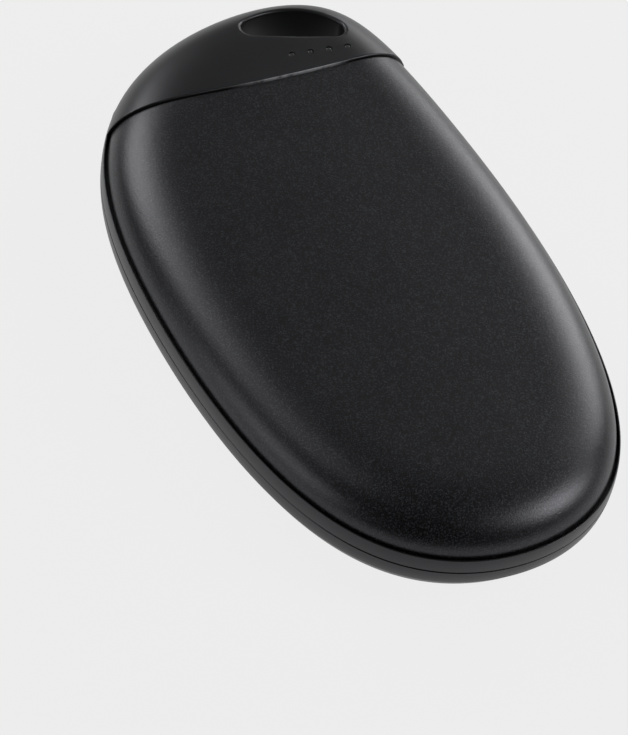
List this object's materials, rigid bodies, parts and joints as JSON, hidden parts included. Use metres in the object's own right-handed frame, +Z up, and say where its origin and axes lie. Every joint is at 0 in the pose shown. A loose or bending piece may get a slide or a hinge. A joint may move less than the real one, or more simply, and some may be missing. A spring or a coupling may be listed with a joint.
{
  "type": "rechargeable hand warmer",
  "caption": "Palm-size rounded hand warmer: two dark metal heat plates in a black plastic rim with a lanyard-hole cap, status lights, power button and charging port.",
  "frame": {"origin": "centre of the outline on the surface that the rear plate rests on", "axes": "+Y along the body towards the lanyard cap, +X across, +Z up through the front plate"},
  "size_m": [0.0646, 0.116, 0.0167],
  "materials": {
    "housing": "smooth satin black moulding",
    "plate": "bead-blasted, black anodised",
    "seal": "soft black bonding strip",
    "film": "amber film",
    "foam": "grey closed-cell foam",
    "pouch": "silver laminate pouch",
    "tab": "bare nickel strip",
    "board": "green solder mask",
    "pale_plastic": "white moulding",
    "wire": "red insulation",
    "chip": "black epoxy",
    "ceramic": "sintered tan",
    "clear": "smoked clear moulding",
    "steel": "plain stamped steel",
    "button": "satin black moulding"
  },
  "bodies": {
    "body": {"front_housing": "housing", "rear_housing": "housing", "front_shell": "plate", "rear_shell": "plate", "front_bond_ring": "seal", "rear_bond_ring": "seal", "front_heater_film": "film", "rear_heater_film": "film", "front_heater_lead": "film", "rear_heater_lead": "film", "front_foam_pad": "foam", "rear_foam_pad": "foam", "battery_cell": "pouch", "cell_tabs": "tab", "protection_board": "board", "battery_connector": "pale_plastic", "battery_leads": "wire", "main_board": "board", "charge_controller": "chip", "microcontroller": "chip", "power_inductor": "chip", "board_capacitors": "ceramic", "thermistor": "ceramic", "status_leds": "pale_plastic", "light_pipe": "clear", "usb_port_shell": "steel", "usb_port_tongue": "chip", "switch_body": "steel", "housing_screws": "steel", "board_screws": "steel"},
    "button": {"power_button": "button", "switch_plunger": "chip"}
  },
  "joints": [
    {"name": "power_press", "type": "slide", "parent": "body", "child": "button", "axis": [0.728, -0.6856, 0], "range_m": [0, 0.0004], "stiffness_N_per_m": 5000}
  ]
}
